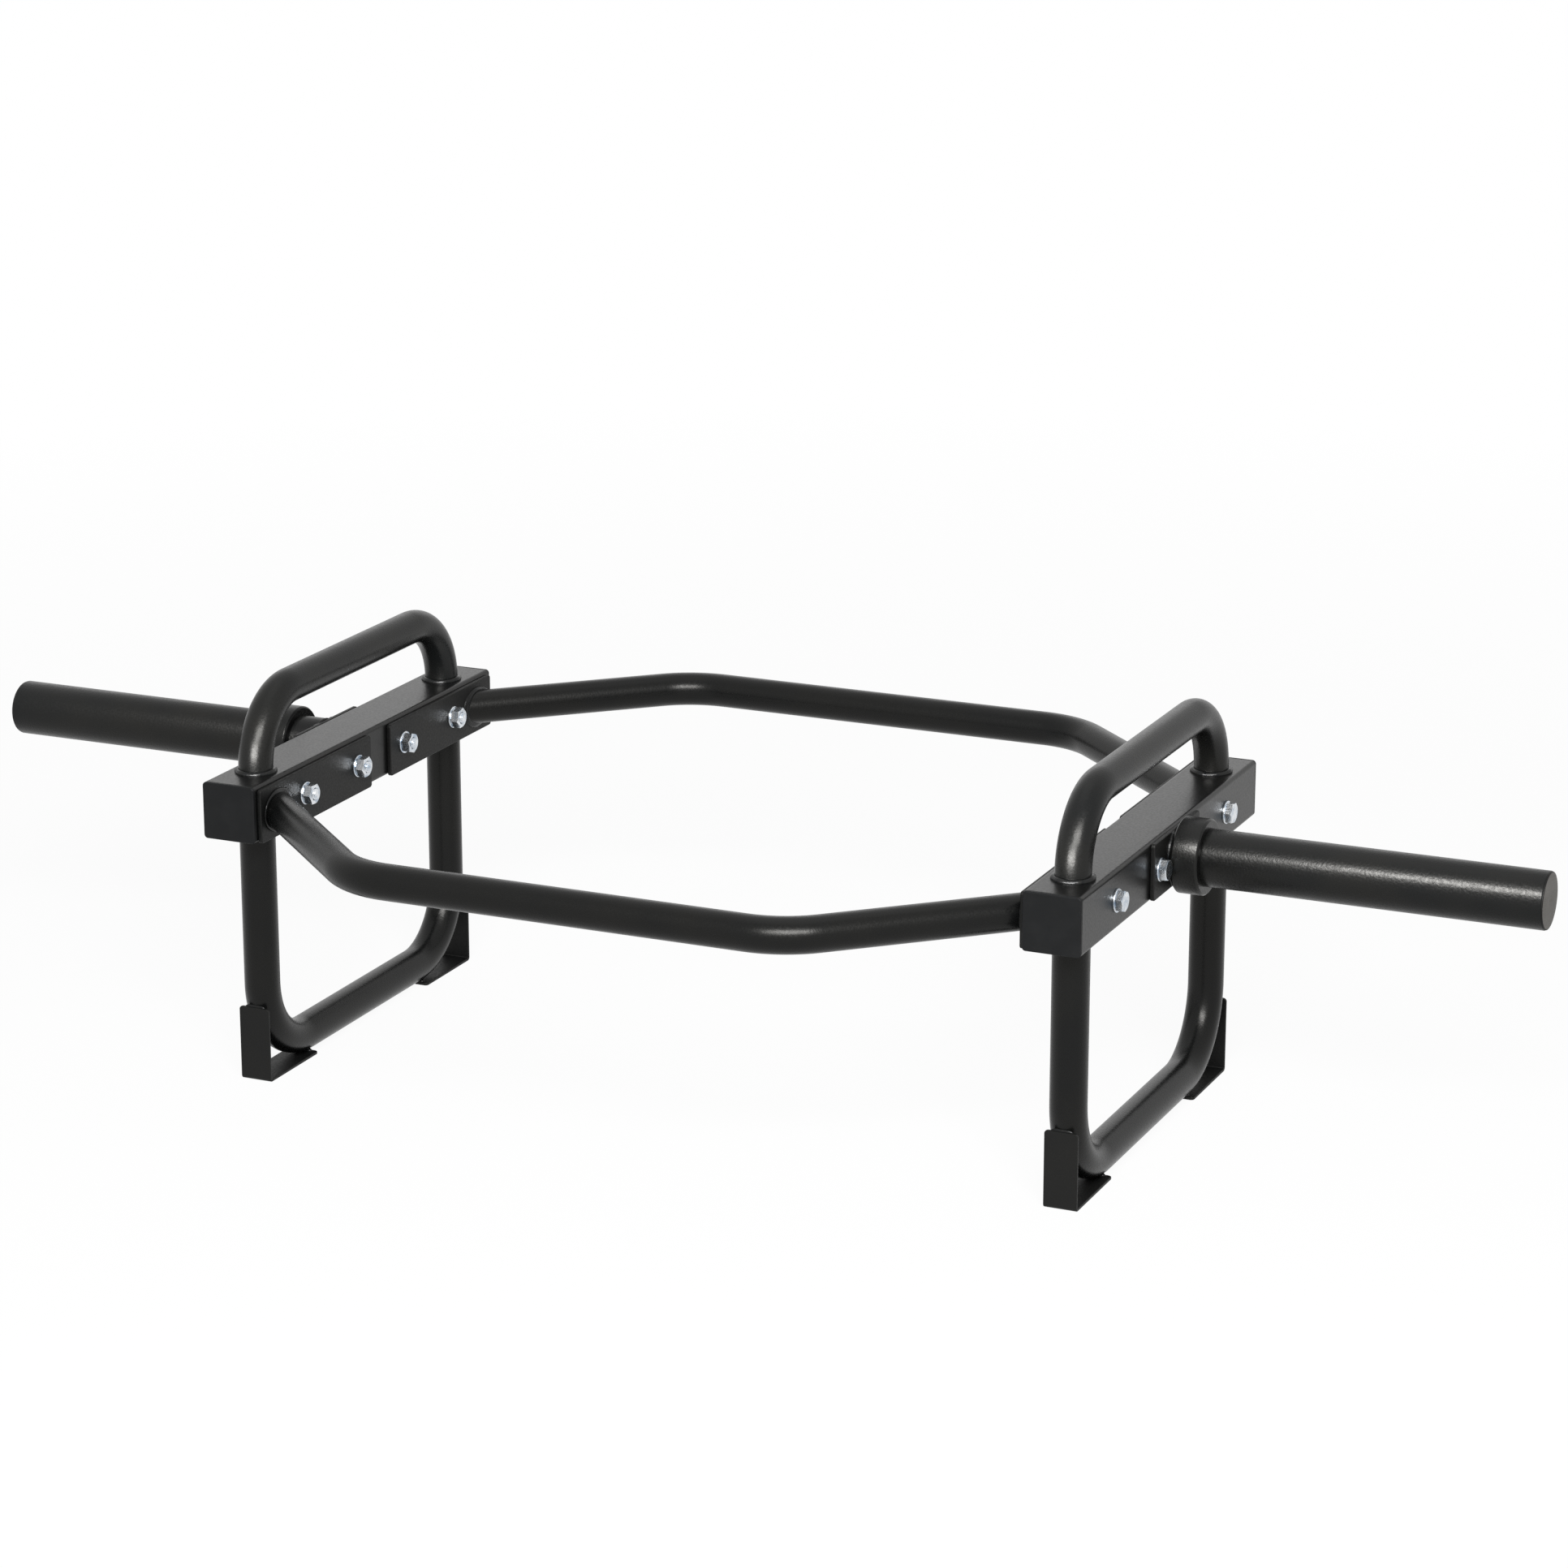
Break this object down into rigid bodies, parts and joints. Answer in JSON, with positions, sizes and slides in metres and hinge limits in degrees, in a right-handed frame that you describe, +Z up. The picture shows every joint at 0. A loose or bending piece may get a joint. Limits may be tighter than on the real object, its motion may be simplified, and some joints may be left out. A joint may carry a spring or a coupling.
{
  "type": "hex trap bar",
  "caption": "Hexagonal steel lifting bar with raised loop handles on square side beams, bent tube stands on plate feet, and round sleeves with stop collars for weight plates.",
  "frame": {"origin": "on the floor under the middle of the frame", "axes": "+X along the sleeves to the right, +Y from front to rear, +Z up"},
  "size_m": [1.479, 0.7034, 0.3645],
  "materials": {
    "coated_steel": "satin black powder coat with a fine grain",
    "coated_weld": "glossier black powder coat over rippled weld beads",
    "black_plastic": "dull black moulded plastic",
    "zinc_steel": "bright zinc plate"
  },
  "bodies": {
    "root": {"front_hex_tube": "coated_steel", "front_hex_welds": "coated_weld", "front_left_flange_plate": "coated_steel", "left_front_beam_cap": "black_plastic", "left_front_foot": "coated_steel", "front_right_flange_plate": "coated_steel", "right_front_beam_cap": "black_plastic", "right_front_foot": "coated_steel", "rear_hex_tube": "coated_steel", "rear_hex_welds": "coated_weld", "rear_left_flange_plate": "coated_steel", "left_rear_beam_cap": "black_plastic", "left_rear_foot": "coated_steel", "rear_right_flange_plate": "coated_steel", "right_rear_beam_cap": "black_plastic", "right_rear_foot": "coated_steel", "left_side_beam": "coated_steel", "left_handle": "coated_steel", "left_stand": "coated_steel", "left_sleeve": "coated_steel", "left_sleeve_plate": "coated_steel", "left_sleeve_collar": "coated_steel", "left_sleeve_end_cap": "black_plastic", "left_bolts": "zinc_steel", "left_washers": "zinc_steel", "left_nuts": "zinc_steel", "left_sleeve_weld": "coated_weld", "left_handle_welds": "coated_weld", "left_stand_welds": "coated_weld", "left_foot_welds": "coated_weld", "right_side_beam": "coated_steel", "right_handle": "coated_steel", "right_stand": "coated_steel", "right_sleeve": "coated_steel", "right_sleeve_plate": "coated_steel", "right_sleeve_collar": "coated_steel", "right_sleeve_end_cap": "black_plastic", "right_bolts": "zinc_steel", "right_washers": "zinc_steel", "right_nuts": "zinc_steel", "right_sleeve_weld": "coated_weld", "right_handle_welds": "coated_weld", "right_stand_welds": "coated_weld", "right_foot_welds": "coated_weld"}
  },
  "joints": []
}
